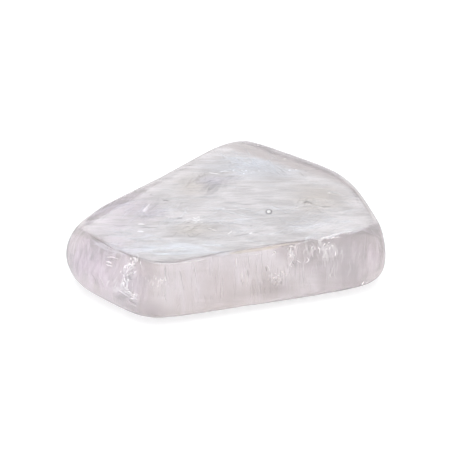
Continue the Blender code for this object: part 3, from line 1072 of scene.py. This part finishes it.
def add_flaws_and_painted_light():
    """Cracks, bruises, veils, silk and a bubble inside the stone, with painted shade and highlights
    along the crease and edges.
    """
    bright = mark_material("crack_and_glint_bright", BRIGHT_CRACK_AND_GLINT)
    soft = mark_material("crack_soft", SOFT_CRACK)
    dark = mark_material("crack_dark", DARK_CRACK)
    silk = mark_material("silk_pale", PALE_SILK)
    pale = mark_material("veil_pale", PALE_VEIL)
    white = mark_material("veil_white", WHITE_VEIL)
    rosy = mark_material("veil_rosy", ROSY_VEIL)
    smoky = mark_material("veil_smoky", SMOKY_VEIL)
    warm = mark_material("veil_warm", WARM_VEIL)
    line = mark_material("crease_shade_grey", CREASE_SHADE_GREY)
    strip = mark_material("crease_warm", CREASE_WARM)
    # Painted shade and a painted highlight along the crease, and its warm strip
    add_drawn_marks("crease_shade_line", CREASE_SHADE_LINE, EDGE_DEPTH, line)
    add_drawn_marks("crease_highlight", CREASE_HIGHLIGHT, EDGE_DEPTH, pale)
    add_drawn_marks("crease_strip", WARM_STRIP, FLAW_DEPTH, strip)
    add_veils("veils_pale", PALE_VEILS, pale)
    add_veils("veils_white", WHITE_VEILS, white)
    add_veils("veils_rosy", ROSY_VEILS, rosy)
    add_veils("veils_smoky", SMOKY_VEILS, smoky)
    add_veils("veils_warm", WARM_VEILS, warm)
    add_veils("sparks", SPARKS, bright)
    for name, strokes in (
        ("slash_left", LEFT_SLASH), ("flecks_top", TOP_FLECKS), ("glints_edge", EDGE_GLINTS),
        ("crack_front", FRONT_CRACK), ("cracks_front", FRONT_CLUSTER),
    ):
        add_drawn_marks(name, strokes, FLAW_DEPTH, bright)
    add_drawn_marks("cracks_left", LEFT_CLUSTER, FLAW_DEPTH, soft)
    add_drawn_marks("cracks_dark", DARK_STROKES, DARK_DEPTH, dark)
    add_bubble(bright, dark)
    add_silk("silk_top", TOP_SILK, top_starts, TOP_SILK_HEADING, silk)
    add_silk("silk_sides", SIDE_SILK, side_starts, SIDE_SILK_HEADING, silk)


def add_floor():
    """A white light table, so that the stone lies on white and has only a faint shadow."""
    mesh = bpy.data.meshes.new("floor")
    corners = []
    for x, y in ((-1, -1), (1, -1), (1, 1), (-1, 1)):
        corners.append((x * FLOOR_HALF, y * FLOOR_HALF, -FLOOR_DROP))
    mesh.from_pydata(corners, [], [(0, 1, 2, 3)])
    floor = bpy.data.objects.new("floor", mesh)
    bpy.context.scene.collection.objects.link(floor)
    material = new_material("white_ground")
    shader = material.node_tree.nodes["Principled BSDF"]
    shader.inputs["Base Color"].default_value = FLOOR_COLOUR
    shader.inputs["Roughness"].default_value = 1.0
    shader.inputs["Specular IOR Level"].default_value = 0.0
    shader.inputs["Emission Color"].default_value = WHITE
    shader.inputs["Emission Strength"].default_value = FLOOR_GLOW
    mesh.materials.append(material)


def add_world():
    """White near the horizon and in front, and brighter and bluer high behind the stone."""
    world = bpy.data.worlds.new("studio")
    world.use_nodes = True
    tree = world.node_tree
    place = add_node(tree, "TexCoord")
    direction = add_node(tree, "SeparateXYZ")
    tree.links.new(place.outputs["Generated"], direction.inputs["Vector"])
    behind = spread(tree, direction.outputs["Y"], *WORLD_TURN)
    above = spread(tree, direction.outputs["Z"], *WORLD_RISE)
    sky = blend_colours(tree, behind, WHITE, WORLD_BACK)
    colour = blend_colours(tree, above, WHITE, sky)
    background = tree.nodes["Background"]
    tree.links.new(colour, background.inputs["Color"])
    background.inputs["Strength"].default_value = WORLD_STRENGTH
    bpy.context.scene.world = world


def add_overhead():
    """A large soft white lamp straight above the stone."""
    lamp = bpy.data.lights.new("overhead", "AREA")
    lamp.shape = "SQUARE"
    lamp.size = OVERHEAD_SIDE
    lamp.energy = OVERHEAD_POWER
    holder = bpy.data.objects.new("overhead", lamp)
    holder.location = (0.0, 0.0, OVERHEAD_HEIGHT)
    bpy.context.scene.collection.objects.link(holder)


def add_camera():
    """The camera at the photograph's viewing angle."""
    lens = bpy.data.cameras.new("camera")
    lens.lens = CAMERA_LENS
    lens.sensor_width = CAMERA_SENSOR
    lens.clip_start, lens.clip_end = CAMERA_CLIP
    camera = bpy.data.objects.new("camera", lens)
    back = Vector(camera_axes()[0])
    camera.location = CAMERA_TARGET + back * CAMERA_DISTANCE
    camera.rotation_mode = "QUATERNION"
    camera.rotation_quaternion = (-back).to_track_quat("-Z", "Y")
    bpy.context.scene.collection.objects.link(camera)
    bpy.context.scene.camera = camera


def set_picture():
    """Plain display of the colours, so that white stays white."""
    scene = bpy.context.scene
    scene.view_settings.view_transform = "Standard"
    scene.view_settings.look = "None"
    scene.cycles.max_bounces = LIGHT_BOUNCES
    scene.cycles.transmission_bounces = LIGHT_BOUNCES
    scene.cycles.glossy_bounces = LIGHT_BOUNCES
    scene.cycles.transparent_max_bounces = LIGHT_BOUNCES


add_camera()
add_stone()
add_flaws_and_painted_light()
add_floor()
add_world()
add_overhead()
set_picture()
